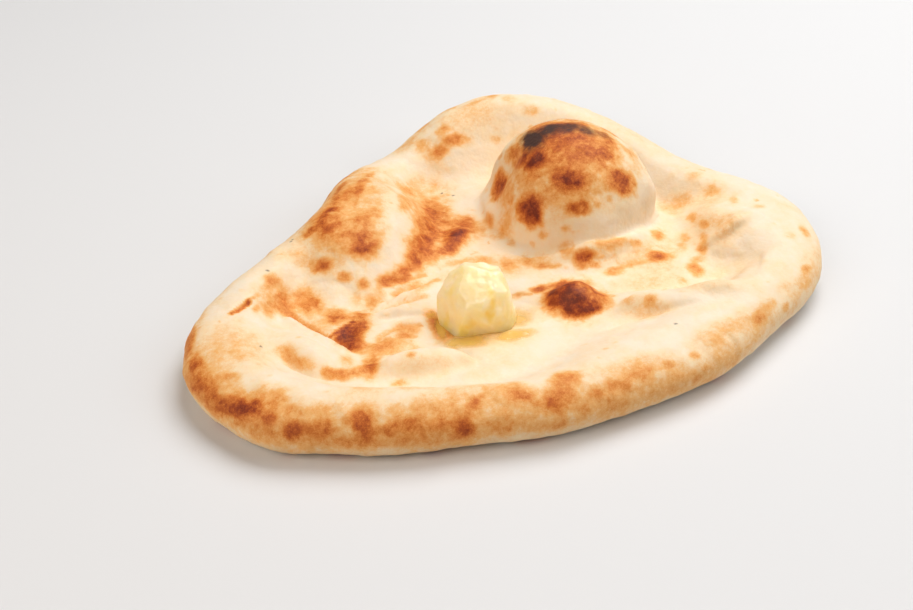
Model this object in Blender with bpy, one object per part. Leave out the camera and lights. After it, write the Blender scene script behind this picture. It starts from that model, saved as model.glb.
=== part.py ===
# Naan bread: a hand-stretched, tear-shaped flatbread with a puffed rim, one large
# bubble and a few smaller swellings, and a knob of butter lying on it.
#
# The frame: +Z up, +X along the long front edge towards the broad end, +Y towards the
# humped back edge. The origin is the middle of the bread's box, on its flat underside.
# Places and sizes are in millimetres. Places are laid out from a point CENTRE away from
# the origin, and finish moves them there and turns them into metres.
import math

import bmesh
import bpy
import numpy as np
from mathutils import Matrix

MM = 0.001
CENTRE = (1.8, 0.4)      # of the bread's box, in the places below

# The plan of the bread: how far its edge reaches from the middle, by direction in degrees.
MIDDLE = (0.7, -11.0)
REACH = {0: 126.6, 20: 113.4, 40: 116.8, 60: 120.7, 80: 115.5, 100: 98.6, 120: 88.6, 140: 81.7,
         160: 92.7, 180: 119.1, 190: 126.4, 200: 129.7, 210: 127, 220: 116.4, 240: 99.5, 260: 92.6,
         280: 89.9, 300: 95, 320: 103.5, 340: 120.9}

# The puffed rim: the height of its crest, how far the crest lies in from the edge, and
# how far its inner slope runs on from there, by direction.
CREST_HEIGHT = {0: 20, 28: 20, 42: 26, 55: 31, 70: 33, 84: 28, 99: 17, 113: 21, 128: 24.5, 142: 24,
                156: 20, 180: 18, 210: 19, 250: 18, 290: 18, 330: 19}
CREST_INSET = {0: 19, 28: 18, 55: 21, 84: 20, 99: 15, 128: 17, 156: 15, 180: 18, 210: 18, 250: 14,
               290: 16, 330: 18}
INNER_SLOPE = {0: 20, 28: 18, 55: 24, 84: 30, 99: 18, 128: 36, 156: 16, 180: 18, 210: 18, 250: 14,
               285: 28, 320: 24, 345: 20}
EDGE_HEIGHT = 8.5        # of the widest line round the rim
UNDERCUT = 9.0           # how far the flat underside lies in from the widest line
SHEET = 9.5              # thickness of the bread inside the rim

# Swellings that stand on the underside: place, half length, half width, turn of the long
# axis in degrees, height of the top, and the share of the half sizes that stays level.
SWELLINGS = {
    "left dome": dict(at=(-47, 28), half=(52, 40), turn=60, top=26, level=0.25),
    "broad end": dict(at=(97, -24), half=(28, 44), turn=10, top=20, level=0.25),
}

# Low relief on the sheet: place, half length, half width, turn, height, level share.
RELIEF = {
    "bubble skirt": dict(at=(42, -12), half=(32, 15), turn=0, rise=7.0, level=0.2),
    "char blister": dict(at=(16, -41), half=(14, 12), turn=-25, rise=7.5, level=0.15),
    "blister tail": dict(at=(0, -29), half=(8, 4), turn=-15, rise=2.0, level=0.0),
    "middle blister": dict(at=(31, -20), half=(9, 7), turn=10, rise=2.5, level=0.1),
    "small blister": dict(at=(57, -25), half=(8, 6), turn=0, rise=2.0, level=0.1),
    "leaf swelling": dict(at=(48, -55), half=(36, 10), turn=-19, rise=6.5, level=0.1),
    "front ridge": dict(at=(-51, -57), half=(26, 8), turn=-6, rise=4.5, level=0.1),
    "pocket": dict(at=(-53, -68), half=(20, 8), turn=-4, rise=-1.5, level=0.1),
    "tongue": dict(at=(-85, -39), half=(30, 12), turn=-57, rise=5.5, level=0.1),
    "tongue dimple": dict(at=(-94, -46), half=(15, 7), turn=-50, rise=-2.5, level=0.0),
    "brown lobe": dict(at=(-12, 13), half=(18, 8), turn=32, rise=2.5, level=0.0),
    "valley": dict(at=(-6, 52), half=(34, 16), turn=62, rise=-1.5, level=0.2),
    "end hollow": dict(at=(80, -42), half=(26, 13), turn=24, rise=-2.5, level=0.1),
    "end fold": dict(at=(88, -27), half=(22, 7), turn=18, rise=2.0, level=0.0),
}

# The large bubble: a thin-walled dome, a little wider above its foot.
BUBBLE_AT = (40.5, 21.0)
BUBBLE_RADIUS = 35.0
BUBBLE_WAIST = 11.0      # height of its widest line
BUBBLE_TOP = 46.0
BUBBLE_SWEEP = 96.0      # degrees of arc from its top down to its foot

# The knob of butter: a rounded and dented block, widest a little below its middle.
BUTTER_AT = (-20.5, -37.5)
BUTTER_HALF = (12.4, 11.4)
BUTTER_HEIGHT = 20.0
BUTTER_TURN = -14.0      # of its corners round the upright axis, in degrees
BUTTER_ROUND = 0.66      # 0 is a square block, 1 a ball
BUTTER_TAPER = 0.18      # how fast it narrows above and below its widest line
BUTTER_WIDEST = -0.25    # height of that line, from -1 at the bottom to 1 at the top
BUTTER_DENTS = 0.045     # depth of its dents, as a share of its half width

# Mesh.
RINGS = 30               # rings of faces from the middle to the edge
EDGE_RINGS = 5           # of them on the rounded outside of the rim
UNDER_RINGS = 3          # rings from the widest line down to the underside
BUTTER_CUTS = 8          # cuts across each face of the block that becomes the butter
GAP = 0.3                # between the butter and the bread


def around(values, angle):
    """A smooth closed curve through values by direction, read at angles in radians."""
    directions = sorted(values)
    at = np.degrees(angle) % 360.0
    result = np.zeros_like(at)
    count = len(directions)
    for i in range(count):
        a, b = directions[i], directions[(i + 1) % count]
        before, after = directions[i - 1], directions[(i + 2) % count]
        span = (b - a) % 360
        t = ((at - a) % 360.0) / span
        slope_a = (values[b] - values[before]) / ((b - before) % 360) * span
        slope_b = (values[after] - values[a]) / ((after - a) % 360) * span
        curve = ((2 * t**3 - 3 * t**2 + 1) * values[a] + (t**3 - 2 * t**2 + t) * slope_a
                 + (3 * t**2 - 2 * t**3) * values[b] + (t**3 - t**2) * slope_b)
        result = np.where(t < 1.0, curve, result)
    return result


def higher(a, b, blend):
    """The higher of two heights, rounded off where they cross."""
    share = np.clip(0.5 + 0.5 * (a - b) / blend, 0.0, 1.0)
    return b + (a - b) * share + blend * share * (1.0 - share)


def mound(x, y, at, half, turn, level=0.0):
    """1 on a mound's top, falling to 0 at its foot."""
    c, s = math.cos(math.radians(turn)), math.sin(math.radians(turn))
    along = ((x - at[0]) * c + (y - at[1]) * s) / half[0]
    across = ((y - at[1]) * c - (x - at[0]) * s) / half[1]
    out = np.clip((np.hypot(along, across) - level) / (1.0 - level), 0.0, 1.0)
    return 0.5 + 0.5 * np.cos(math.pi * out)


def body_height(x, y):
    """Height of the bread's top, before its edge is rounded off."""
    dx, dy = x - MIDDLE[0], y - MIDDLE[1]
    angle = np.arctan2(dy, dx)
    inward = around(REACH, angle) - np.hypot(dx, dy)
    crest, inset, slope = (around(v, angle) for v in (CREST_HEIGHT, CREST_INSET, INNER_SLOPE))
    fall = np.clip((inward - inset) / slope, 0.0, 1.0)
    height = SHEET + (crest - SHEET) * (0.5 + 0.5 * np.cos(math.pi * fall))
    for form in SWELLINGS.values():
        rise = mound(x, y, form["at"], form["half"], form["turn"], form["level"])
        height = higher(height, SHEET - 3.0 + (form["top"] - SHEET + 3.0) * rise, 3.0)
    for form in RELIEF.values():
        rise = mound(x, y, form["at"], form["half"], form["turn"], form["level"])
        height = height + form["rise"] * rise
    return height


def top_of_bread(x, y):
    """The place and height of a point of the top whose plan position was x, y."""
    height = body_height(x, y)
    dx, dy = x - BUBBLE_AT[0], y - BUBBLE_AT[1]
    sweep = math.radians(BUBBLE_SWEEP)
    foot = BUBBLE_RADIUS * math.sin(sweep)
    r = np.hypot(dx, dy)
    inside = r < foot
    angle = np.where(inside, r / foot * sweep, sweep)
    spread = np.where(inside & (r > 0.001), BUBBLE_RADIUS * np.sin(angle) / np.maximum(r, 0.001), 1.0)
    dome = BUBBLE_WAIST + (BUBBLE_TOP - BUBBLE_WAIST) * np.cos(angle)
    dome = np.where(inside, dome, 0.0)
    return BUBBLE_AT[0] + dx * spread, BUBBLE_AT[1] + dy * spread, higher(dome, height, 4.0)


def material(name, colour, roughness):
    made = bpy.data.materials.new(name)
    made.use_nodes = True
    shader = made.node_tree.nodes["Principled BSDF"]
    shader.inputs["Base Color"].default_value = (*colour, 1.0)
    shader.inputs["Roughness"].default_value = roughness
    shader.inputs["Metallic"].default_value = 0.0
    return made


def finish(bm, name, look):
    """Makes a mesh in millimetres an object in metres, with its origin in the right place."""
    bmesh.ops.translate(bm, verts=bm.verts, vec=(-CENTRE[0], -CENTRE[1], 0.0))
    bmesh.ops.scale(bm, verts=bm.verts, vec=(MM, MM, MM))
    bmesh.ops.recalc_face_normals(bm, faces=bm.faces)
    mesh = bpy.data.meshes.new(name)
    bm.to_mesh(mesh)
    bm.free()
    mesh.shade_smooth()
    made = bpy.data.objects.new(name, mesh)
    made.data.materials.append(look)
    bpy.context.scene.collection.objects.link(made)
    return made


def drawn_out(a, b):
    """Where a point a, b of a square sheet, 2 across, comes to lie on the bread's top."""
    ring = np.maximum(np.abs(a), np.abs(b))
    safe = np.maximum(ring, 1e-6)
    quarter = math.pi / 4
    angle = np.where(np.abs(a) >= np.abs(b),
                     quarter * b / safe * np.sign(a) + np.where(a < 0, math.pi, 0.0),
                     2 * quarter * np.sign(b) - quarter * a / safe * np.sign(b))
    reach, inset = around(REACH, angle), around(CREST_INSET, angle)
    edge_ring = 1.0 - EDGE_RINGS / RINGS
    turn = np.clip((1.0 - ring) / (1.0 - edge_ring), 0.0, 1.0) * math.pi / 2
    out = np.where(ring > edge_ring, reach - inset * (1.0 - np.cos(turn)),
                   (reach - inset) * ring / edge_ring)
    x, y, height = top_of_bread(MIDDLE[0] + out * np.cos(angle), MIDDLE[1] + out * np.sin(angle))
    return x, y, EDGE_HEIGHT + (height - EDGE_HEIGHT) * np.sin(turn)


def make_naan():
    """The bread: a square grid drawn out to the plan, with its edge turned under."""
    bm = bmesh.new()
    bmesh.ops.create_grid(bm, x_segments=2 * RINGS, y_segments=2 * RINGS, size=1.0)
    a, b = np.array([v.co[:2] for v in bm.verts]).T
    for v, place in zip(bm.verts, zip(*drawn_out(a, b))):
        v.co = place

    edge = [e for e in bm.edges if e.is_boundary]
    for step in range(1, UNDER_RINGS + 1):
        made = bmesh.ops.extrude_edge_only(bm, edges=edge)["geom"]
        edge = [e for e in made if isinstance(e, bmesh.types.BMEdge) and e.is_boundary]
        down = step / UNDER_RINGS * math.pi / 2
        before = (step - 1) / UNDER_RINGS * math.pi / 2
        for v in (v for v in made if isinstance(v, bmesh.types.BMVert)):
            dx, dy = v.co.x - MIDDLE[0], v.co.y - MIDDLE[1]
            step_in = UNDERCUT * (math.cos(before) - math.cos(down)) / math.hypot(dx, dy)
            v.co.x -= dx * step_in
            v.co.y -= dy * step_in
            v.co.z = EDGE_HEIGHT * (1.0 - math.sin(down))
    bmesh.ops.contextual_create(bm, geom=edge)
    return finish(bm, "naan", material("baked dough", (0.86, 0.62, 0.36), 0.62))


def make_butter():
    """The butter: a rounded block whose underside follows the bread just below it."""
    bm = bmesh.new()
    bmesh.ops.create_cube(bm, size=2.0)
    bmesh.ops.subdivide_edges(bm, edges=bm.edges, cuts=BUTTER_CUTS, use_grid_fill=True)
    turn = Matrix.Rotation(math.radians(BUTTER_TURN), 3, "Z")
    for v in bm.verts:
        block = turn @ v.co.lerp(v.co.normalized() * 1.2, BUTTER_ROUND)
        dents = math.sin(4.1 * block.x + 2.3 * block.z) + math.sin(3.7 * block.y - 3.1 * block.z + 1.0)
        block *= 1.0 + BUTTER_DENTS * dents
        narrow = 1.0 - BUTTER_TAPER * (block.z - BUTTER_WIDEST) ** 2
        x = BUTTER_AT[0] + BUTTER_HALF[0] * block.x * narrow
        y = BUTTER_AT[1] + BUTTER_HALF[1] * block.y * narrow
        bread = float(body_height(np.array([x]), np.array([y]))[0])
        lift = max(0.0, (block.z + 0.6) / 1.7)
        v.co = (x, y, bread + GAP + BUTTER_HEIGHT * lift)
    return finish(bm, "butter", material("butter", (0.98, 0.82, 0.42), 0.35))


for old in list(bpy.data.objects):
    bpy.data.objects.remove(old)
make_naan()
make_butter()
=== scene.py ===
import math

import bmesh
import bpy
import numpy as np
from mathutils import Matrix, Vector, noise


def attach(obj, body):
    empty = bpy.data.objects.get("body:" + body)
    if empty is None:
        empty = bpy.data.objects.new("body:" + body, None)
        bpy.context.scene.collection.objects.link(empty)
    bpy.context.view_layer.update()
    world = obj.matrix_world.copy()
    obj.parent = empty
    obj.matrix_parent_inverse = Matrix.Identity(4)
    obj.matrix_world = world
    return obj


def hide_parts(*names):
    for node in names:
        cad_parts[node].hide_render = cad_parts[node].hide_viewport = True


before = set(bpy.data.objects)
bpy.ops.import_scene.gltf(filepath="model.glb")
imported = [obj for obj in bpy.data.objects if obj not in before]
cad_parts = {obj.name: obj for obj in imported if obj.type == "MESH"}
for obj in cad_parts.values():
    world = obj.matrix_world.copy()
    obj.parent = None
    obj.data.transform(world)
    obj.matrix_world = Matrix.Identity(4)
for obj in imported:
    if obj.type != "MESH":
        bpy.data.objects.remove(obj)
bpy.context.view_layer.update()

mm = 0.001
centre = np.array((1.8, 0.4, 0))      # of the bread's box: places below are measured from a point this far from it


# camera, light and table

shot = dict(aim=(-27.1, -29.0, 10), turn=-20, pitch=35, distance=461, lens=50)
lights = {
    "window": dict(turn=125, pitch=60, distance=1.3, size=1.0, power=14.9),
    "side": dict(turn=64, pitch=36, distance=1.3, size=1.0, power=5.2),
    "bounce": dict(turn=-70, pitch=38, distance=1.3, size=1.0, power=8.0, colour=(1.0, 0.90, 0.80)),
}
room = dict(glow=0.08, table=(0.74, 0.74, 0.745), reach=3)


def lookFrom(turn, pitch):
    a, e = math.radians(turn), math.radians(pitch)
    return Vector((math.sin(a) * math.cos(e), -math.cos(a) * math.cos(e), math.sin(e)))


def show(thing):
    bpy.context.scene.collection.objects.link(thing)
    return thing


def makeCamera():
    lens = bpy.data.cameras.new("camera")
    lens.lens, lens.sensor_width = shot["lens"], 36
    lens.clip_start, lens.clip_end = 0.01, 20
    camera = show(bpy.data.objects.new("camera", lens))
    back = lookFrom(shot["turn"], shot["pitch"])
    camera.location = Vector(shot["aim"]) * mm + back * shot["distance"] * mm
    camera.rotation_euler = back.to_track_quat("Z", "Y").to_euler()
    bpy.context.scene.camera = camera


def makeLight(name, turn, pitch, distance, size, power, colour=(1, 1, 1)):
    lamp = bpy.data.lights.new(name, "AREA")
    lamp.shape, lamp.size, lamp.energy, lamp.color = "DISK", size, power, colour
    holder = show(bpy.data.objects.new(name, lamp))
    back = lookFrom(turn, pitch)
    holder.location = back * distance
    holder.rotation_euler = back.to_track_quat("Z", "Y").to_euler()


def makeRoom():
    sky = bpy.data.worlds.new("room")
    sky.use_nodes = True
    sky.node_tree.nodes["Background"].inputs["Color"].default_value = (1, 1, 1, 1)
    sky.node_tree.nodes["Background"].inputs["Strength"].default_value = room["glow"]
    bpy.context.scene.world = sky
    bpy.context.scene.view_settings.view_transform = "Standard"
    bm = bmesh.new()
    bmesh.ops.create_grid(bm, x_segments=1, y_segments=1, size=room["reach"])
    table = show(bpy.data.objects.new("table", bpy.data.meshes.new("table")))
    bm.to_mesh(table.data)
    bm.free()
    made, shader, start = newMaterial("pale table")
    shader.inputs["Base Color"].default_value = (*room["table"], 1)
    shader.inputs["Roughness"].default_value = 0.7
    table.data.materials.append(made)


# one output of a shader tree: arithmetic on it adds Math nodes

class Wire:
    def __init__(self, tree, socket=None):
        self.tree, self.socket = tree, socket

    def node(self, kind, settings=None, inputs=None, output=0):
        made = self.tree.nodes.new("ShaderNode" + kind)
        for name, value in (settings or {}).items():
            if name == "stops":
                fillRamp(made.color_ramp, value)
            else:
                setattr(made, name, value)
        for name, value in (inputs or {}).items():
            if isinstance(value, Wire):
                self.tree.links.new(value.socket, made.inputs[name])
            else:
                made.inputs[name].default_value = value
        return Wire(self.tree, made.outputs[output])

    def maths(self, operation, *values, clamp=False):
        return self.node("Math", dict(operation=operation, use_clamp=clamp), dict(enumerate(values)))

    def __add__(self, other): return self.maths("ADD", self, other)
    def __sub__(self, other): return self.maths("SUBTRACT", self, other)
    def __mul__(self, other): return self.maths("MULTIPLY", self, other)
    def __truediv__(self, other): return self.maths("DIVIDE", self, other)
    def __pow__(self, other): return self.maths("POWER", self, other)
    def __rsub__(self, other): return self.maths("SUBTRACT", other, self)
    __radd__, __rmul__ = __add__, __mul__

    def within(self): return self.maths("ADD", self, 0, clamp=True)

    def ramp(self, stops): return self.node("ValToRGB", dict(stops=stops), dict(Fac=self))

    def over(self, under, amount): return self.node("Mix", dict(data_type="RGBA"), {0: amount, 6: under, 7: self}, 2)

    def feed(self, shader, name): self.tree.links.new(self.socket, shader.inputs[name])


def fillRamp(ramp, stops):
    while len(ramp.elements) > 1:
        ramp.elements.remove(ramp.elements[-1])
    for i, (place, colour) in enumerate(stops):
        stop = ramp.elements[0] if i == 0 else ramp.elements.new(place)
        stop.position, stop.color = place, (*colour, 1)


def newMaterial(name, fixed=None):
    made = bpy.data.materials.new(name)
    made.use_nodes = True
    shader = made.node_tree.nodes["Principled BSDF"]
    for socket, value in (fixed or {}).items():
        shader.inputs[socket].default_value = value
    return made, shader, Wire(made.node_tree)


# tools for shapes: points are worked on as arrays in millimetres

def readPoints(mesh, what="co"):
    flat = np.empty(len(mesh.vertices) * 3)
    mesh.vertices.foreach_get(what, flat)
    return flat.reshape(-1, 3) / mm + centre if what == "co" else flat.reshape(-1, 3)


def writePoints(mesh, points):
    mesh.vertices.foreach_set("co", ((points - centre) * mm).ravel())
    mesh.update()


def writePaint(mesh, name, values):
    mesh.attributes.new(name, "FLOAT", "POINT").data.foreach_set("value", values.astype(np.float32))


def ease(values, low, high):
    t = np.clip((values - low) / (high - low), 0, 1)
    return t * t * (3 - 2 * t)


def cloud(points, size, seed, octaves=2):  # soft random values, mostly -0.7 to 0.7
    shift = Vector((7.3 * seed, 3.1 * seed, 5.9 * seed))
    return np.array([noise.fractal(Vector(p) + shift, 0.9, 2.1, octaves) for p in points / size])


def finerCopy(node, name, voxel, smoothing):
    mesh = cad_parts[node].data.copy()
    mesh.materials.clear()
    bm = bmesh.new()
    bm.from_mesh(mesh)
    bmesh.ops.remove_doubles(bm, verts=bm.verts, dist=1e-6)
    bm.to_mesh(mesh)
    bm.free()
    piece = show(bpy.data.objects.new(name, mesh))
    remesh = piece.modifiers.new("remesh", "REMESH")
    remesh.mode, remesh.voxel_size = "VOXEL", voxel * mm
    applyModifiers(piece)
    bm = bmesh.new()
    bm.from_mesh(piece.data)
    for _ in range(smoothing):
        bmesh.ops.smooth_vert(bm, verts=bm.verts, factor=0.5, use_axis_x=True, use_axis_y=True, use_axis_z=True)
    bm.to_mesh(piece.data)
    bm.free()
    piece.data.shade_smooth()
    return piece


def applyModifiers(piece):
    shapes = bpy.context.evaluated_depsgraph_get()
    done = bpy.data.meshes.new_from_object(piece.evaluated_get(shapes))
    old = piece.data
    piece.modifiers.clear()
    piece.data = done
    bpy.data.meshes.remove(old)


def ride(piece, node):
    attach(piece, "root")
    if node:
        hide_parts(node)


# the bread's skin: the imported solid, drawn finer, with its underside kept coarse

bread = dict(
    voxel=0.92, smoothing=14, underShare=0.16, underBelow=0.35,
    waves=((30, 0.5), (11, 0.32), (4.5, 0.13)),       # size and depth of the unevenness
    blisters=(5.5, 0.3),                              # size and height of the small blisters
    underDents=0.7,
)


def thinUnderside(piece, share, below):
    points = readPoints(piece.data)
    low = np.flatnonzero(points[:, 2] < below)
    group = piece.vertex_groups.new(name="underside")
    group.add([int(i) for i in low], 1.0, "REPLACE")
    faces = len(piece.data.polygons)
    under = len(low)
    thin = piece.modifiers.new("thin", "DECIMATE")
    thin.ratio = 1 - under / faces * (1 - share)
    thin.vertex_group = "underside"
    applyModifiers(piece)
    piece.vertex_groups.clear()
    piece.data.shade_smooth()


# low swellings of the skin: place, half length, half width, turn, rise
swells = {
    "skirt of the bubble": ((38, -15), 18, 8, -4, 1.6),
    "tongue": ((-84, -38), 22, 9, -58, 0.9),
    "tongue tip": ((-72, -50), 9, 6, -40, 1.2),
    "dimple in the tongue": ((-91, -42), 9, 5, -58, -0.4),
    "front ridge": ((-48, -59), 20, 6, -5, 0.8),
    "shallow behind the ridge": ((-47, -46), 17, 5, 0, -0.9),
    "left wrinkle field": ((-66, -8), 9, 9, 0, 0.7),
    "left wrinkle dip": ((-80, -6), 7, 6, 30, -0.6),
    "brown dent": ((-67, -31), 8, 7, 60, -1.3),
    "low between the domes": ((-24, -4), 20, 8, 25, -0.6),
    "brown lobe": ((-9, 15), 11, 5, 50, 1.0),
    "char blister crown": ((19, -37), 7, 6, 0, 0.8),
    "small blister": ((59, -24), 6, 4, 0, 0.8),
    "middle blister": ((32, -18), 6, 4, 0, 0.7),
    "end dip": ((80, -20), 9, 5, 40, -0.5),
    "end hollow": ((84, -38), 10, 6, 30, -0.5),
    "end fold": ((86, -28), 15, 3, 16, 0.5),
    "rim over the left dome": ((-96, 2), 12, 10, 40, 0.5),
    "front rim pull": ((40, -88), 10, 8, 0, -0.7),
    "front rim swell": ((-12, -93), 24, 9, -3, 0.7),
    "right rim swell": ((70, -72), 20, 9, 24, 0.8),
    "flat left of the bubble": ((11, 28), 13, 10, 70, -2.6),
    "bubble wall left": ((8, 13), 10, 8, -60, -1.4),
    "end dip filled": ((81, -13), 16, 11, 50, 0.8), "end fold lowered": ((88, -30), 9, 7, 10, -1.3), "end fold drawn out": ((98, -24), 9, 6, 20, 0.9),
    "leaf's left part": ((39, -57), 13, 7, -30, 1.3),
    "between the wrinkles": ((-46, -24.5), 10, 3.6, 2, 0.8), "between the wrinkles 2": ((-46, -31.5), 9, 2.6, -4, 0.7),
    "between the wrinkles 3": ((-40, -16), 10, 3, 12, 0.8), "between the wrinkles 4": ((-53, -45), 9, 3.6, 0, 0.5),
    "behind the leaf": ((62, -52), 20, 8, -26, -1.7), "leaf filled": ((47, -62), 13, 6, -25, 1.6), "leaf tip filled": ((60, -61), 10, 5, -20, 0.8),
    "trough before the ridge": ((-46, -68), 20, 6, -4, 0.8), "trough's right end": ((-31, -70), 14, 6, 0, 1.1),
    "foot right of the bubble": ((69, 0), 11, 13, 0, 2.2),
    "behind the bubble": ((76, 44), 16, 10, -50, 2.0),
}

# folds: the skin sinks along a line and stands up on one side of it (right is positive)
folds = {
    "slit": dict(line=[(-104, -17), (-99, -13), (-95, -10)], width=1.5, depth=1.3, lip=0.5, side=-1),
    "tongue top": dict(line=[(-89, -12), (-83, -13), (-80, -20), (-77, -26), (-73, -32), (-70, -38), (-65, -45)],
                       width=1.7, depth=1.2, lip=1.5, side=1),
    "tongue foot": dict(line=[(-93, -38), (-90, -48), (-84, -55), (-76, -59), (-68, -60)],
                        width=1.6, depth=1.2, lip=1.0, side=1),
    "ridge lip": dict(line=[(-68, -54), (-61, -53), (-50, -52), (-38, -53), (-32, -57), (-28, -65)],
                      width=1.5, depth=0.9, lip=1.3, side=1),
    "leaf top": dict(line=[(24, -52), (32, -48.5), (41, -51), (50, -57)], width=1.6, depth=0.5, lip=0.8, side=1),
    "leaf foot": dict(line=[(14, -63), (26, -60), (37, -61), (48, -66), (58, -70)], width=1.6, depth=0.7, lip=0.4, side=1),
    "bubble foot": dict(line=[(1, 13), (3, 5), (9, -4), (20, -10), (30, -14), (40, -16), (50, -14), (60, -8), (70, 2)],
                        width=1.3, depth=1.0, lip=0.4, side=1),
    "wrinkle 1": dict(line=[(-61, -18), (-55, -22), (-44, -20.5), (-34, -19)], width=0.9, depth=0.9, lip=0.6, side=1),
    "wrinkle 2": dict(line=[(-60, -30), (-54, -27), (-45, -27.5), (-35, -31)], width=1.2, depth=0.7, lip=0.6, side=-1),
    "wrinkle 3": dict(line=[(-59, -38), (-50, -33.5), (-44, -34), (-38, -37)], width=0.9, depth=0.8, lip=0.6, side=1),
    "wrinkle 5": dict(line=[(-66, -42), (-60, -39), (-53, -38.5), (-44, -42)], width=0.9, depth=0.7, lip=0.5, side=1),
    "wrinkle 6": dict(line=[(-49, -17), (-43, -13), (-35, -12), (-26, -8)], width=1.3, depth=0.7, lip=0.6, side=1),
    "wrinkle 7": dict(line=[(-46, -9), (-38, -7.5), (-30, -5)], width=0.8, depth=0.6, lip=0.5, side=1),
    "wrinkle 4": dict(line=[(-76, 0), (-66, -3), (-60, -8), (-57, -13)], width=1.1, depth=0.2, lip=0.2, side=-1),
    "butter wrinkle": dict(line=[(-4, -33), (1, -36), (5, -42)], width=0.9, depth=0.35, lip=0.2, side=1),
    "blister foot": dict(line=[(4, -36), (8, -48), (15, -53), (23, -51), (29, -45)], width=1.4, depth=0.5, lip=0.3, side=-1),
    "end crease": dict(line=[(73, -27), (80, -29.5), (88, -31), (95, -28)], width=1.6, depth=0.6, lip=0.6, side=-1),
    "end crease 2": dict(line=[(75, -31), (81, -35), (87, -40)], width=1.3, depth=0.3, lip=0.25, side=-1),
    "rim lip at the end": dict(line=[(72, -62), (81, -57), (88, -48), (91, -39)], width=2.8, depth=0.45, lip=0.4, side=1),
    "front nick": dict(line=[(52, -84), (55, -88), (54, -92)], width=1.2, depth=0.35, lip=0.2, side=-1),
}


# finely wrinkled skin: place, half length, half width, turn, depth
wrinkled = {
    "left of the butter": ((-50, -22), 24, 20, 0, 0.75),
    "under the tongue top": ((-84, -6), 12, 9, 30, 0.5),
    "beside the band": ((-34, -8), 22, 8, 30, 0.5),
    "dome": ((-52, 30), 30, 14, 60, 0.45),
    "band": ((-16, 26), 30, 11, 62, 0.5),
    "skirt of the bubble": ((44, -22), 30, 9, -4, 0.5),
    "end": ((84, -30), 18, 12, 30, 0.35),
}

# parts of the skin moved sideways: place, reach, heights between which the move grows, move
pulls = {
    "left tip": ((-124, -34), 34, (-9, -8), (-2.2, -0.3)),
    "left side of the bubble": ((7, 28), 27, (11, 18), (4.2, -0.8)),
}


def bend(line, rounds=2):  # a line with its corners cut
    for _ in range(rounds):
        cut = [line[0]]
        for a, b in zip(line[:-1], line[1:]):
            cut += [a * 0.75 + b * 0.25, a * 0.25 + b * 0.75]
        line = cut + [line[-1]]
    return line


def beside(points, line):  # distance from a line in plan, which side (right +), how far along it from 0 to 1
    line = bend([np.array(p, float) for p in line])
    steps = [np.linalg.norm(b - a) for a, b in zip(line[:-1], line[1:])]
    nearest = np.full(len(points), 1e9)
    side, along, done = np.zeros(len(points)), np.zeros(len(points)), 0
    for a, b, step in zip(line[:-1], line[1:], steps):
        ahead = (b - a) / step
        away = points[:, :2] - a
        t = np.clip(away @ ahead, 0, step)
        gap = away - t[:, None] * ahead
        distance = np.hypot(gap[:, 0], gap[:, 1])
        closer = distance < nearest
        nearest = np.where(closer, distance, nearest)
        side = np.where(closer, np.sign(away[:, 0] * ahead[1] - away[:, 1] * ahead[0]), side)
        along = np.where(closer, (done + t) / sum(steps), along)
        done += step
    return nearest, side, along


def mound(points, place, half, across, turn):
    c, s = math.cos(math.radians(turn)), math.sin(math.radians(turn))
    dx, dy = points[:, 0] - place[0], points[:, 1] - place[1]
    return 1 - ease(np.hypot((dx * c + dy * s) / half, (dy * c - dx * s) / across), 0, 1)


def wrinkles(points):  # 0 in the creases, larger on the small lumps between them
    return np.abs(cloud(points * (1.0, 1.3, 1.3), 6.5, 9))


def wrinkledBy(points):
    return sum(depth * mound(points, place, half, across, turn) for place, half, across, turn, depth in wrinkled.values())


def shapeSkin(piece):
    mesh = piece.data
    points, out = readPoints(mesh), readPoints(mesh, "normal")
    top = ease(out[:, 2], 0.0, 0.3)
    under = ease(-out[:, 2], 0.85, 0.98)
    rise = np.zeros(len(points))
    for place, half, across, turn, height in swells.values():
        rise += height * mound(points, place, half, across, turn) * top
    for fold in folds.values():
        nearest, side, along = beside(points, fold["line"])
        fade = ease(along, 0, 0.2) * (1 - ease(along, 0.8, 1)) * top
        raised = np.clip(side * fold["side"], 0, 1)
        rise -= fold["depth"] * np.exp(-(nearest / fold["width"]) ** 2) * fade
        rise += fold["lip"] * raised * np.exp(-((nearest - 2.2) / 2.6) ** 2) * ease(nearest, 0.2, 1.8) * fade
    rise += 2.2 * (np.minimum(wrinkles(points), 0.4) - 0.3) * wrinkledBy(points) * top
    wobble = sum(depth * cloud(points, size, i) for i, (size, depth) in enumerate(bread["waves"]))
    size, height = bread["blisters"]
    wobble += height * ease(cloud(points, size, 5, 1), 0.1, 0.8)
    dents = bread["underDents"] * ease(cloud(points, 9, 8), -0.1, 0.5)
    points += out * ((rise + wobble) * (1 - under))[:, None]
    points[:, 2] += dents * under
    for place, half, heights, move in pulls.values():
        points[:, :2] += (mound(points, place, half, half, 0) * ease(points[:, 2], *heights))[:, None] * move
    points[:, 2] = np.maximum(points[:, 2], 0)
    writePoints(mesh, points)



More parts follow.
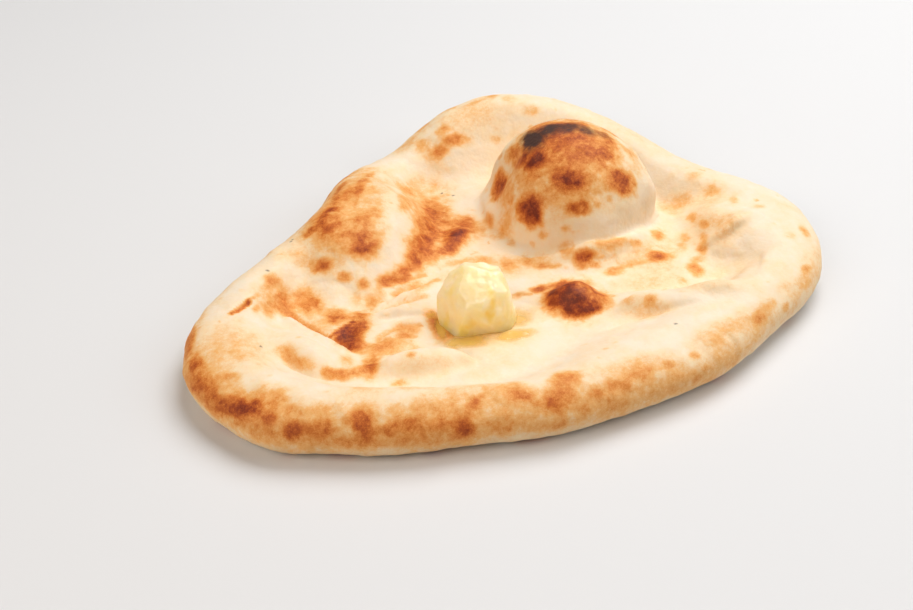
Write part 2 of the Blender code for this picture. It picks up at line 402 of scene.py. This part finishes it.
# browning, and a few broad faint spots of painted warm shade: places on the skin with half length, half width, turn and
# strength (0.3 golden, 0.5 tan, 0.7 toasted, 0.9 dark); a third number in a place is its height
brownedAndShaded = {
    "left end": [
        ((-88, -2), 5, 2, 45, 0.36), ((-86, -7), 7, 4, 40, 0.36), ((-91, -12), 5, 3, 55, 0.34), ((-84, -9), 3.5, 5, -20, 0.46),
        ((-95, -14), 3, 1.6, 50, 0.36), ((-75.6, -8), 5, 7, 0, 0.52), ((-73.5, -9), 1.8, 5, 0, 0.5), ((-77, -11), 1.6, 4, 0, 0.52),
        ((-88, -6), 8, 6, 20, 0.24), ((-86.5, 0), 3, 3, 0, 0.42), ((-68.5, -20.5), 5, 4.4, 0, 0.56), ((-60, -23.5), 4, 3, 20, 0.5),
        ((-67, -32), 7, 4.6, 60, 0.9), ((-69, -31), 4, 3.4, 30, 0.86), ((-62, -28), 4.4, 3, 20, 0.7), ((-66, -37), 3.4, 4.5, 0, 0.8),
        ((-90, -41), 6.5, 3.4, -55, 0.34), ((-87, -46), 4, 2.4, -50, 0.28), ((-65.6, -53.6), 3, 5, -15, 0.62),
        ((-64, -50), 3, 5.5, -35, 0.44), ((-58, -42), 6.5, 3.4, 15, 0.4), ((-72, -49), 2.6, 5, -20, 0.26),
        ((-60, -4), 2.6, 2.2, -45, 0.42), ((-53.5, -8), 3, 2.6, 0, 0.46), ((-54, -13), 2.2, 4, -10, 0.3), ((-44.5, -7), 5, 2.6, 15, 0.58),
        ((-52, -14), 3, 7, -35, 0.28), ((-58, -13), 2.2, 5, -20, 0.22), ((-47, -37), 4.5, 4.5, 0, 0.34),
        # the broad faint spot at (-47, -61) is painted warm shade on the lobe of the front ridge
        ((-47, -49), 2.2, 5, 0, 0.32), ((-54, -44), 8, 5, 0, 0.24), ((-73, -72), 5, 5, 0, 0.18), ((-47, -61), 17, 5, -5, 0.14),
        ((-60, -77), 3.5, 3, 0, 0.2), ((-74, -24), 4, 8, 30, 0.22), ((-40, -12), 4, 1.4, 40, 0.28), ((-35, -10), 4, 1.4, 45, 0.3),
    ],
    "left dome": [
        ((-50, 32), 36, 15, 60, 0.31), ((-60, 22), 10, 8, 50, 0.46), ((-60, 23), 6, 3.4, 60, 0.62), ((-57, 27), 3.4, 3, 45, 0.68),
        ((-66, 19), 3.4, 3, 0, 0.6), ((-60, 16), 4.5, 3, 0, 0.54), ((-50, 6), 7.5, 7, 60, 0.5), ((-49, 8), 4, 3, 40, 0.52),
        ((-51, 4), 4, 2.8, 20, 0.6), ((-46, 5), 2, 2, 0, 0.46), ((-48, 14), 6, 4, 60, 0.38), ((-67, 4), 4.4, 3.4, -20, 0.52), ((-66, 2.8), 2.6, 1.8, -20, 0.5),
        ((-58, 10), 10, 6, 10, 0.34), ((-43, 18), 6, 5, 60, 0.34), ((-42, 38), 7, 2, 62, 0.48), ((-38, 45), 7, 1.8, 50, 0.52),
        ((-33, 53), 7, 1.6, 52, 0.4), ((-47, 46), 8, 2.2, 58, 0.5), ((-51, 38), 7, 2, 60, 0.46), ((-44, 57), 6, 3, 60, 0.46), ((-46, 37), 7, 4, 55, 0.4),
        ((-53, 31), 6, 2.4, 60, 0.42), ((-73, 10), 5, 7, 40, 0.2), ((-38, 63), 4, 3, 50, 0.34), ((-47, 14), 4, 3, 0, 0.34),
    ],
    "band beside the dome": [
        ((-16, 29), 31, 8, 64, 0.4), ((-13, 57), 7, 5, 80, 0.24), ((-21, 14), 4, 3.6, 55, 0.66), ((-10, 40), 8, 4.5, 76, 0.5), ((-12, 30), 9, 7, 66, 0.5),
        ((-19, 19), 9, 8, 58, 0.5), ((-26, 8), 8, 6, 50, 0.56), ((-31, 1), 6, 4.4, 48, 0.52), ((-37, -4), 4.5, 3.4, 45, 0.54),
        ((-30, 2), 2.2, 2.2, 0, 0.54), ((-17, 52), 5, 7, 70, 0.32), ((-9, 16), 14, 6.5, 50, 0.62), ((-12, 11), 7, 3.6, 45, 0.68), ((-8, 15), 5, 2.4, 50, 0.7),
        ((-3, 24), 6, 4.5, 55, 0.64), ((-16, 7), 7, 3.4, 25, 0.62), ((1, 18), 5, 8, -30, 0.3), ((-42, -7), 5, 2.6, 10, 0.46),
        ((-25, 30), 10, 3.4, 58, 0.36), ((-19, 42), 14, 5, 70, 0.28), ((-28, 25), 4, 2, 40, 0.3),
    ],
    "back hump": [
        ((1, 69), 5, 3.4, 0, 0.44), ((10, 70), 6, 3, -8, 0.44), ((-3, 74), 4, 3.6, 0, 0.34),
        ((6, 76), 3, 2.4, 0, 0.34), ((18, 78), 18, 9, 0, 0.2), ((46, 72), 4, 2.4, 0, 0.28),
        ((14, 88), 4, 3, 0, 0.3), ((24, 84), 4, 2.4, 0, 0.28), ((33, 86), 3.6, 3, 0, 0.28),
        ((-6, 82), 9, 5, 0, 0.26), ((28, 68), 3, 2, 0, 0.2), ((2, 88), 5, 2.4, 20, 0.32), ((38, 80), 4, 3, 0, 0.2),
    ],
    "middle": [
        ((6, -11), 30, 6, -6, 0.22), ((2, -8), 2.4, 4, 0, 0.44), ((11, -9), 2.6, 4.5, 0, 0.38), ((-6, -3), 5, 3, 0, 0.32),
        ((-15, -1), 7, 2.6, 0, 0.27), ((15, -15.5), 6, 1.8, -25, 0.36), ((19, -17.5), 3, 1.6, -10, 0.32), ((-32, -13), 8, 1.6, 30, 0.26),
        ((7.5, -28.5), 4.4, 2.6, 12, 0.66), ((-1, -30), 4, 1.8, 0, 0.32), ((16, -39), 11, 12, 0, 0.62),
        ((11, -39), 5.4, 8.6, -10, 0.97), ((13, -46), 6.4, 5, -30, 1.0), ((18, -50), 6, 2.4, 0, 0.84), ((25, -43), 4.5, 7, 0, 0.5),
        ((17, -29), 5, 3, 0, 0.72), ((30, -20.5), 5.6, 2.8, -8, 0.63), ((28, -22), 4, 2.2, 10, 0.4), ((33, -23), 4, 1.6, -20, 0.46),
        ((24, -13.5), 2.6, 3.6, 0, 0.36), ((42, -18), 9, 2.6, -4, 0.36), ((52, -18), 3, 1.6, 0, 0.36), ((36, -18.5), 3, 1.4, 0, 0.34),
        ((38.5, -28), 4.4, 2.4, 0, 0.42), ((48, -25), 7, 2, 4, 0.32), ((38, -57), 3.4, 3, 0, 0.4), ((60, -41), 3, 3, 0, 0.22),
        ((31, -52), 4, 2.4, 0, 0.24), ((48, -38), 13, 7, 0, 0.18), ((-52, -57), 2, 1.4, 0, 0.44), ((-58, -64), 3, 1.8, 10, 0.34), ((-36, -37), 2.4, 9, -4, 0.5), ((-34, -43), 2, 3, 0, 0.52), ((35, -36), 3, 3, 0, 0.14),
    ],
    "right end": [
        ((55, -24), 18, 7, 8, 0.2), ((65, -12.5), 5, 2.6, 40, 0.42), ((59, -25.5), 6, 3, 0, 0.56), ((58, -26), 3, 1.6, 0, 0.5),
        ((69, -36.5), 3, 3.6, -20, 0.46), ((72, -31), 3, 2, 0, 0.34), ((76, -26.5), 2, 3.6, -15, 0.42),
        ((79, -23), 1.6, 3, -20, 0.4), ((81, -10), 1.8, 5, -6, 0.32), ((82, -17.5), 1.4, 2.4, 0, 0.34), ((71, -20), 2, 3, 0, 0.24),
        ((74, -17), 2, 3, 0, 0.26), ((96, 2), 3, 3.4, 0, 0.26), ((87, 7), 4.4, 3, 0, 0.2), ((92, -3), 12, 8, 60, 0.16),
        ((99, -10), 5, 1.8, 58, 0.24), ((105, -19), 2.4, 2, 0, 0.2), ((103, -58), 4, 1.8, 20, 0.36), ((58, -32), 3, 2, 0, 0.18),
        # the spot at (36, -58) is partly a real gold spot and partly painted warm shade on the leaf's steep left side
        ((94, 13), 4, 3, 0, 0.2), ((98, -64), 10, 3, 35, 0.24), ((36, -58), 10, 5, -30, 0.2), ((58, -60), 14, 4, -24, 0.14), ((84, -18), 7, 6, 30, 0.16), ((106, -41), 3, 2.4, 0, 0.18), ((114, -38), 2, 4, -25, 0.3),
        # the spot at (86, -26) is painted warm shade in the hollow at the right end
        ((83, 6), 8, 7, 0, 0.22), ((72, 14), 8, 6, 0, 0.18), ((86, -26), 10, 6, 30, 0.2), ((76, -40), 7, 3, 10, 0.12),
    ],
    "bubble": [
        ((34, 14), 25, 20, -8, 0.5), ((26, -3), 20, 8, -12, 0.27),
        ((33, 24), 16, 10, -14, 0.66), ((34, 34), 8, 6, 40, 0.5), ((21.6, 13.8), 9, 5, 8, 0.87), ((19, 21), 3, 5, 10, 0.56),
        ((10.8, 29, 22.7), 5.6, 5.4, 75, 0.8), ((12, 20, 27), 9, 8, 75, 0.3), ((15.8, 1.4, 26), 5.4, 6.4, -50, 0.84), ((17, -1), 3, 3.4, -50, 0.78),
        ((30.8, -1), 5.8, 4.6, -18, 0.82), ((26, 1), 3, 2.6, 0, 0.5), ((52, -3.6), 6.4, 5, 10, 0.7), ((32, -8), 4.4, 2.8, -25, 0.58),
        ((46, 7), 10, 5.4, -10, 0.54), ((50, 5), 5, 3, 0, 0.44), ((38, 6), 5, 4, 0, 0.44), ((38, 14), 8, 5, 0, 0.42),
        ((54, 14), 4, 5, -20, 0.44), ((21, 28), 3, 8, 10, 0.5), ((9, 3.4), 1.6, 2.4, 0, 0.3), ((18.5, -5.5), 2, 1.8, 0, 0.3),
        ((26, -9), 1.8, 2, 0, 0.3), ((45, -8), 1.8, 1.8, 0, 0.32), ((39, -9), 1.6, 1.8, 0, 0.34), ((6, 20), 2, 5, 0, 0.36),
        ((62, 8), 4, 6, 0, 0.2), ((9.5, 10, 16), 5, 8, 60, 0.28), ((49, 36), 7, 5, -30, 0.5), ((33, 44), 5, 4, 0, 0.42), ((60, 26), 4.5, 4, 20, 0.42),
    ],
    "front rim": [
        ((-121, -22, 13), 8, 3, 75, 0.56), ((-120, -37, 12), 4, 2.6, 70, 0.7), ((-120, -47, 12), 9, 4, -80, 0.56),
        ((-117, -56, 11), 6, 4.5, -65, 0.54), ((-114, -62, 13.5), 5.5, 4, -50, 0.62), ((-109.5, -67, 15), 5.8, 3.6, -42, 0.92),
        ((-104, -72, 13), 3.4, 2.8, -35, 0.56), ((-102, -67, 17), 7, 5, -30, 0.36), ((-98, -77, 11), 4.4, 3.4, -25, 0.66),
        ((-90, -81, 12), 4.2, 3.4, -20, 0.54), ((-84, -85, 10), 4, 2.4, -20, 0.46), ((-77, -85, 13), 3.6, 4.6, -15, 0.66),
        ((-70, -90, 13), 4, 2.6, -12, 0.46), ((-64, -90, 14), 5, 3.4, -10, 0.5), ((-57, -92, 13), 4, 3, -10, 0.42),
        ((-47, -96, 12), 3.6, 3.4, -8, 0.62), ((-42, -91, 16), 2.6, 6, -60, 0.46), ((-31, -89, 17), 6, 4, 0, 0.36),
        ((-25, -93, 16), 5, 3, 0, 0.42), ((-16, -97, 15), 7, 4, 0, 0.5), ((-10, -91, 17), 5, 4, 0, 0.48), ((-13, -94.5, 17), 6, 3, 0, 0.4),
        ((-2, -97, 15), 4, 2.4, 0, 0.46), ((7, -96, 15), 5, 3, 0, 0.38), ((15, -94, 15), 5, 3, 0, 0.34),
        # the broad spot at (-113, -37) is painted shade on the slope of the left rim
        ((16, -93, 16), 15, 5, 4, 0.26), ((-113, -37), 16, 14, 0, 0.23), ((-48, -87, 17.4), 14, 5, 4, 0.24), ((26, -93, 15), 3.6, 2, 10, 0.4), ((37, -91, 15), 2.4, 1.8, 10, 0.36), ((69, -78, 14), 6, 3, 24, 0.36),
        ((76, -74, 14), 5, 2.4, 24, 0.34), ((83, -72, 11), 3, 1.8, 26, 0.34), ((48, -86, 16), 9, 5, 16, 0.24),
        ((60, -80, 15), 9, 4, 22, 0.24),
    ],
}

# browning along lines, and painted shade along the first five, which follow the wrinkle creases: width and strength
brownedAndShadedLines = [
    ([(-50, -22), (-40, -20), (-34, -19)], 1.8, 0.22), ([(-58, -37.5), (-50, -34), (-42, -35)], 1.8, 0.3),
    ([(-44, -13.4), (-38, -12.5), (-26, -9.5)], 1.8, 0.28), ([(-46, -9), (-38, -7.5), (-30, -5)], 1.6, 0.34),
    ([(-64, -41), (-56, -39), (-46, -41)], 1.6, 0.3),
    ([(-105, -17), (-101, -14), (-97, -10)], 0.9, 0.6), ([(-97, -10), (-93, -7)], 1.0, 0.3),
    ([(-84, -10), (-81, -17), (-78, -24), (-74, -31)], 1.8, 0.4), ([(-73, -30), (-68, -27), (-63, -25)], 1.0, 0.8),
    ([(-80, -53), (-76, -55.5), (-71, -56), (-66, -53)], 2.4, 0.42), ([(-66, -54), (-58, -52), (-48, -52)], 1.0, 0.34),
    ([(-2, -30), (3, -31)], 1.2, 0.36), ([(38, -26), (47, -26), (57, -27)], 1.4, 0.28),
    ([(-64, 30), (-56, 44), (-48, 54)], 1.2, 0.34), ([(-48, 24), (-42, 36), (-36, 44)], 1.0, 0.3),
]

charred = [
    ((26.5, 26.5), 4.8, 8.6, -6, 1.0), ((33, 25), 6, 6, -20, 0.92), ((40, 22.6), 6.5, 5.2, -20, 0.74), ((46.5, 19.6), 5, 4.2, -16, 0.66),
    ((36, 21), 9, 3, -20, 0.5), ((52, 17.5), 5, 3, -20, 0.34), ((13, -44), 5, 3.8, -20, 0.2),
    ((23, 14), 4, 2, 8, 0.24), ((-68, -32), 3, 2, 20, 0.16),
]

# the golden belt round the outside of the front rim: it fades out past these directions, in degrees,
# below these heights, and this far in from the edge
belt = dict(start=(174, 184), end=(240, 298), low=(5.6, 9.4), narrow=(3, 8), broad=(7, 16), strength=0.29, over=0.17)

buttered = [
    ((-23, -46), 15, 7.5, -8, 0.8), ((-35.5, -40), 2.6, 9, -10, 1.0), ((-35, -31), 3, 4, 0, 0.6), ((-7, -43), 9, 7, 30, 0.66),
    ((-28, -51), 12, 5.6, -8, 0.95), ((-13, -52.5), 12, 5, 4, 0.8),
]

# dark bran flecks in the crust
flecks = [(-87, 5), (-99, -36), (-74, 20), (-73, 21), (-2, 52), (1, 49), (38, -76), (-52, -72)]


def spread(points, out, place, half, across, turn, edge):  # how far points lie out of a spot: 1 at its rim
    if len(place) == 2:
        near = ((points[:, :2] - place) ** 2).sum(1) + np.where(out[:, 2] > 0, 0, 1e6)
    else:
        near = ((points - place) ** 2).sum(1)
    away = points - points[np.argmin(near)]
    c, s = math.cos(math.radians(turn)), math.sin(math.radians(turn))
    along = away[:, 0] * c + away[:, 1] * s
    rest = np.maximum((away ** 2).sum(1) - along ** 2, 0)
    return np.sqrt((along / half) ** 2 + rest / across ** 2) + edge


def paintSkin(piece):
    mesh = piece.data
    points, out = readPoints(mesh), readPoints(mesh, "normal")
    ragged = 0.34 * cloud(points, 6.5, 21) + 0.14 * cloud(points, 1.9, 22)
    total = np.zeros(len(points))
    for spots in brownedAndShaded.values():
        for place, half, across, turn, strength in spots:
            total += (strength * (1 - ease(spread(points, out, place, half, across, turn, ragged), 0.15, 1.9))) ** 3
    for line, width, strength in brownedAndShadedLines:
        nearest = beside(points, line)[0]
        total += (strength * (1 - ease(nearest / width + ragged, 0.3, 1.5)) * (out[:, 2] > 0)) ** 3

    direction = np.degrees(np.arctan2(points[:, 1] + 11, points[:, 0])) % 360
    away = np.hypot(points[:, 0], points[:, 1] + 11)
    reach = np.zeros(360)
    np.maximum.at(reach, direction.astype(int), away)
    inward = reach[direction.astype(int)] - away
    uneven = cloud(points, 9, 23) * 1.6
    band = ease(direction, *belt["start"]) * (1 - ease(direction, *belt["end"])) * ease(points[:, 2] + uneven, *belt["low"])
    wider = ease(direction, 187, 200)
    near, far = ((1 - wider) * belt["narrow"][i] + wider * belt["broad"][i] for i in (0, 1))
    band *= 1 - ease(inward + uneven * 1.5, near, far)
    blotches = belt["strength"] + belt["over"] * cloud(points, 4.5, 24)
    total += (band * blotches) ** 3

    level = np.hypot(out[:, 0], out[:, 1])
    # side: gold on the outer faces of the rim, partly the real baked colour and partly painted warm shade, stronger on
    # faces turned to the front; the wash adds it to the browning
    side = ease(level, 0.25, 0.9) * (1 - ease(inward, 14, 22)) * (0.14 + 0.1 * ease(-out[:, 1], 0, 0.9))
    side *= (0.55 + 0.45 * ease(points[:, 2], 3, 11)) * (1 - 0.5 * ease(points[:, 0], 40, 95))
    goldWashAndShade = 0.03 + side + 0.06 * ease(cloud(points, 26, 25), -0.3, 0.6) + 0.05 * cloud(points, 7, 26)
    freckles = 0.22 * ease(cloud(points, 3.4, 27, 1), 0.34, 0.62) * ease(cloud(points, 22, 28), -0.15, 0.4)
    total += np.clip(goldWashAndShade, 0, 1) ** 3 + freckles ** 3
    # painted shade: the creases of the wrinkled skin are browned a little to show them
    paintedCreaseShade = (1 - ease(wrinkles(points), 0.0, 0.2)) * wrinkledBy(points).clip(0, 1) * (0.6 + 0.8 * cloud(points, 12, 32))
    total += (0.55 * paintedCreaseShade.clip(0, 1)) ** 3
    underside = ease(-out[:, 2], 0.6, 0.95)
    blotch = 0.6 * ease(cloud(points, 17, 29, 3), 0.0, 0.5) + 0.25 * ease(cloud(points, 6, 30), 0.1, 0.6)
    total += (underside * blotch) ** 3
    toastAndShade = np.cbrt(total)
    toastAndShade *= 1 + 0.22 * cloud(points, 2.2, 31) + 0.2 * cloud(points, 5, 33)

    char = np.zeros(len(points))
    for place, half, across, turn, strength in charred:
        char = np.maximum(char, strength * (1 - ease(spread(points, out, place, half, across, turn, ragged), 0.3, 1.4)))
    for place in flecks:
        char[np.argmin(((points[:, :2] - place) ** 2).sum(1) + np.where(out[:, 2] > 0, 0, 1e6))] = 0.7
    wet = np.zeros(len(points))
    for place, half, across, turn, strength in buttered:
        wet = np.maximum(wet, strength * (1 - ease(spread(points, out, place, half, across, turn, ragged * 0.5), 0.5, 1.3)))
    # the toast paint holds the browning together with the painted shade and painted warm shade set above
    writePaint(mesh, "toastAndShade", np.clip(toastAndShade, 0, 1))
    writePaint(mesh, "char", np.clip(char, 0, 1))
    writePaint(mesh, "wet", np.clip(wet, 0, 1))


crust = dict(
    stops=(
        (0.00, (0.90, 0.765, 0.595)), (0.12, (0.91, 0.69, 0.43)), (0.28, (0.86, 0.46, 0.16)),
        (0.42, (0.77, 0.30, 0.066)), (0.56, (0.63, 0.175, 0.028)), (0.70, (0.47, 0.100, 0.016)),
        (0.85, (0.31, 0.052, 0.011)), (1.00, (0.18, 0.026, 0.008)),
    ),
    char=(0.026, 0.013, 0.011, 1), mottle=0.27, grain=0.00035, roughness=0.62,
)


def doughMaterial():
    made, shader, start = newMaterial("baked dough", {
        "Subsurface Weight": 0.12, "Subsurface Radius": (0.0022, 0.0011, 0.0005), "Subsurface Scale": 1.0,
        "Specular IOR Level": 0.25, "Coat Roughness": 0.2,
    })
    place = start.node("TexCoord", output="Object")
    # the toast paint carries the browning together with painted shade
    toastAndShade, char, wet = (start.node("Attribute", dict(attribute_name=name), output="Fac")
                        for name in ("toastAndShade", "char", "wet"))
    fine = start.node("TexNoise", None, {"Vector": place, "Scale": 820, "Detail": 3}, "Fac")
    mealy = start.node("TexNoise", None, {"Vector": place, "Scale": 2300, "Detail": 2}, "Fac")
    patchy = start.node("TexNoise", None, {"Vector": place, "Scale": 260, "Detail": 2}, "Fac")
    level = toastAndShade + (fine - 0.5) * (toastAndShade * 1.1 + 0.08) * crust["mottle"] * 2 + (patchy - 0.5) * (toastAndShade * 0.3 + 0.07) + (mealy - 0.5) * (toastAndShade * 0.5 + 0.05)
    colour = level.within().ramp(crust["stops"])
    burnt = start.node("Mix", dict(data_type="RGBA"), {0: (fine * 1.1).within(), 6: crust["char"], 7: (0.11, 0.05, 0.035, 1)}, 2)
    colour = burnt.over(colour, (char * 1.2 + (fine - 0.5) * 1.0 * char + (mealy - 0.5) * 0.5 * char).within())
    oiled = start.node("Mix", dict(data_type="RGBA", blend_type="MULTIPLY"), {0: (wet * 0.75).within(), 6: colour, 7: (0.98, 0.86, 0.56, 1)}, 2)
    oiled.feed(shader, "Base Color")
    (crust["roughness"] - wet * 0.38).feed(shader, "Roughness")
    (wet * 0.5 + char * 0.3).within().feed(shader, "Coat Weight")
    pores = start.node("TexVoronoi", dict(feature="F1"), {"Vector": place, "Scale": 620}, "Distance")
    height = fine * 0.5 + mealy * 0.18 + pores * 0.35 + patchy * 0.8
    bump = start.node("Bump", None, {"Strength": 0.55, "Distance": crust["grain"], "Height": height}, "Normal")
    bump.feed(shader, "Normal")
    return made


# the butter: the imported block, drawn finer, dented as a knife leaves it

butter = dict(
    voxel=0.5, smoothing=4, middle=(-20.5, -37.5, 19.5), dents=((8, 0.7), (3.0, 0.25)), ridges=(6.5, 0.9), sink=0.7,
    flare=0.8,
    cream=(0.95, 0.75, 0.47, 1), yellow=(0.96, 0.68, 0.25, 1), deep=(0.96, 0.60, 0.07, 1),
)

# flat cuts of the knife: turn and pitch of each face, and how far it lies from the middle
cuts = {
    "top": (-30, 64, 8.0), "left front": (-72, 16, 10.4), "right front": (16, 14, 10.0), "right": (80, 14, 10.8),
    "upper right": (48, 52, 9.8), "upper left": (-100, 40, 9.4), "back": (165, 30, 10.2),
}

# yellower streaks in its front
streaks = [
    ((-19.7, -46.5, 22), 1.5, 4.5, 0, 0.6), ((-20.5, -47, 17), 1.4, 3.5, 0, 0.5), ((-23.5, -46.5, 18.5), 2.6, 1.6, 0, 0.45),
    ((-26, -46, 15.5), 2, 2.4, 0, 0.45), ((-29, -45, 12.5), 1.6, 2.4, 0, 0.55), ((-33, -40, 12), 1.4, 3.5, -60, 0.5),
    ((-22, -46, 11), 8, 1.6, 0, 0.4), ((-31, -38, 24), 1.4, 3, -60, 0.3),
]


def shapeButter(piece):
    mesh = piece.data
    points, out = readPoints(mesh), readPoints(mesh, "normal")
    low, high = points[:, 2].min(), points[:, 2].max()
    up = (points[:, 2] - low) / (high - low)
    for turn, pitch, away in cuts.values():
        face = np.array(lookFrom(turn, pitch))
        past = (points - butter["middle"]) @ face + 0.6 * cloud(points, 8, 40) - away
        points -= face * (np.maximum(past, 0) * 0.8)[:, None]
    size, height = butter["ridges"]
    ridge = 0.3 - np.abs(cloud(points, size, 41, 1))
    rise = height * ridge + sum(depth * cloud(points, size, 42 + i) for i, (size, depth) in enumerate(butter["dents"]))
    rise *= ease(up, 0.02, 0.25)
    points += out * rise[:, None]
    points[:, 2] -= butter["sink"] * (1 - ease(up, 0.0, 0.3))
    away = points[:, :2] - butter["middle"][:2]
    points[:, :2] += away / np.hypot(away[:, 0], away[:, 1])[:, None].clip(1) * (butter["flare"] * (1 - ease(up, 0, 0.2)))[:, None]
    writePoints(mesh, points)
    rich = 0.1 + 0.3 * (1 - ease(up, 0.05, 0.6)) + 0.35 * (1 - ease(up, 0, 0.2)) + 0.2 * cloud(points, 4, 45)
    ragged = 0.4 * cloud(points, 3, 44)
    for place, half, across, turn, strength in streaks:
        rich += strength * (1 - ease(spread(points, out, place, half, across, turn, ragged), 0.1, 1.5))
    writePaint(mesh, "rich", np.clip(rich, 0, 1))


def butterMaterial():
    made, shader, start = newMaterial("soft butter", {
        "Subsurface Weight": 0.95, "Subsurface Radius": (0.011, 0.012, 0.007), "Subsurface Scale": 1.0,
        "Roughness": 0.38, "Coat Weight": 0.1, "Coat Roughness": 0.15,
        # the faint warm glow is painted light, standing in for light passing through the butter
        "Emission Color": (1.0, 0.66, 0.28, 1), "Emission Strength": 0.10,
    })
    place = start.node("TexCoord", output="Object")
    rich = start.node("Attribute", dict(attribute_name="rich"), output="Fac")
    streaks = start.node("TexNoise", None, {"Vector": place, "Scale": 260, "Detail": 3, "Distortion": 0.8}, "Fac")
    level = (rich + (streaks - 0.5) * 0.5).within()
    stops = ((0, butter["cream"][:3]), (0.55, butter["yellow"][:3]), (1, butter["deep"][:3]))
    level.ramp(stops).feed(shader, "Base Color")
    smear = start.node("TexNoise", None, {"Vector": place, "Scale": 420, "Detail": 2}, "Fac")
    start.node("Bump", None, {"Strength": 0.5, "Distance": 0.0004, "Height": smear}, "Normal").feed(shader, "Normal")
    return made


# melted butter: a thin film lifted off the skin round the knob

melt = dict(thick=0.5, edge=0.22, wall=0.9, colour=(0.96, 0.62, 0.11, 1), clear=0.7)


def makeMelt(skin):
    points, out = readPoints(skin.data), readPoints(skin.data, "normal")
    cover = np.zeros(len(points))
    uneven = 0.25 * cloud(points, 7, 51) + 0.1 * cloud(points, 2.5, 52)
    for place, half, across, turn, strength in buttered:
        reach = 1 - ease(spread(points, out, place, half, across, turn, uneven), 0.2, 1.1)
        cover = np.maximum(cover, strength * reach)
    lift = melt["thick"] * np.sqrt(cover) - melt["edge"]
    piece = show(bpy.data.objects.new("melted_butter", skin.data.copy()))
    piece.data.materials.clear()
    writePoints(piece.data, points + out * lift[:, None])
    writePaint(piece.data, "depth", np.clip(lift / (melt["thick"] - melt["edge"]), 0, 1))
    bm = bmesh.new()
    bm.from_mesh(piece.data)
    bare = [f for f in bm.faces if all(cover[v.index] < 0.04 for v in f.verts)]
    bmesh.ops.delete(bm, geom=bare, context="FACES")
    bmesh.ops.solidify(bm, geom=bm.faces, thickness=melt["wall"] * mm)
    bm.to_mesh(piece.data)
    bm.free()
    piece.data.shade_smooth()
    return piece


def meltMaterial():
    made, shader, start = newMaterial("melted butter", {
        "Base Color": melt["colour"], "Roughness": 0.12, "Coat Weight": 0.6, "Coat Roughness": 0.05,
    })
    depth = start.node("Attribute", dict(attribute_name="depth"), output="Fac")
    (depth * melt["clear"]).within().feed(shader, "Alpha")
    return made


makeCamera()
makeRoom()
for name, lamp in lights.items():
    makeLight(name, **lamp)
print("camera, lights and table ready")

naan = finerCopy("naan", "naan_bread", bread["voxel"], bread["smoothing"])
thinUnderside(naan, bread["underShare"], bread["underBelow"])
shapeSkin(naan)
paintSkin(naan)
naan.data.materials.append(doughMaterial())
ride(naan, "naan")
print("bread skin", len(naan.data.vertices), "points", len(naan.data.polygons), "faces")

knob = finerCopy("butter", "butter_knob", butter["voxel"], butter["smoothing"])
shapeButter(knob)
knob.data.materials.append(butterMaterial())
ride(knob, "butter")
print("butter", len(knob.data.polygons), "faces")

pool = makeMelt(naan)
pool.data.materials.append(meltMaterial())
ride(pool, None)
print("melted butter", len(pool.data.polygons), "faces")
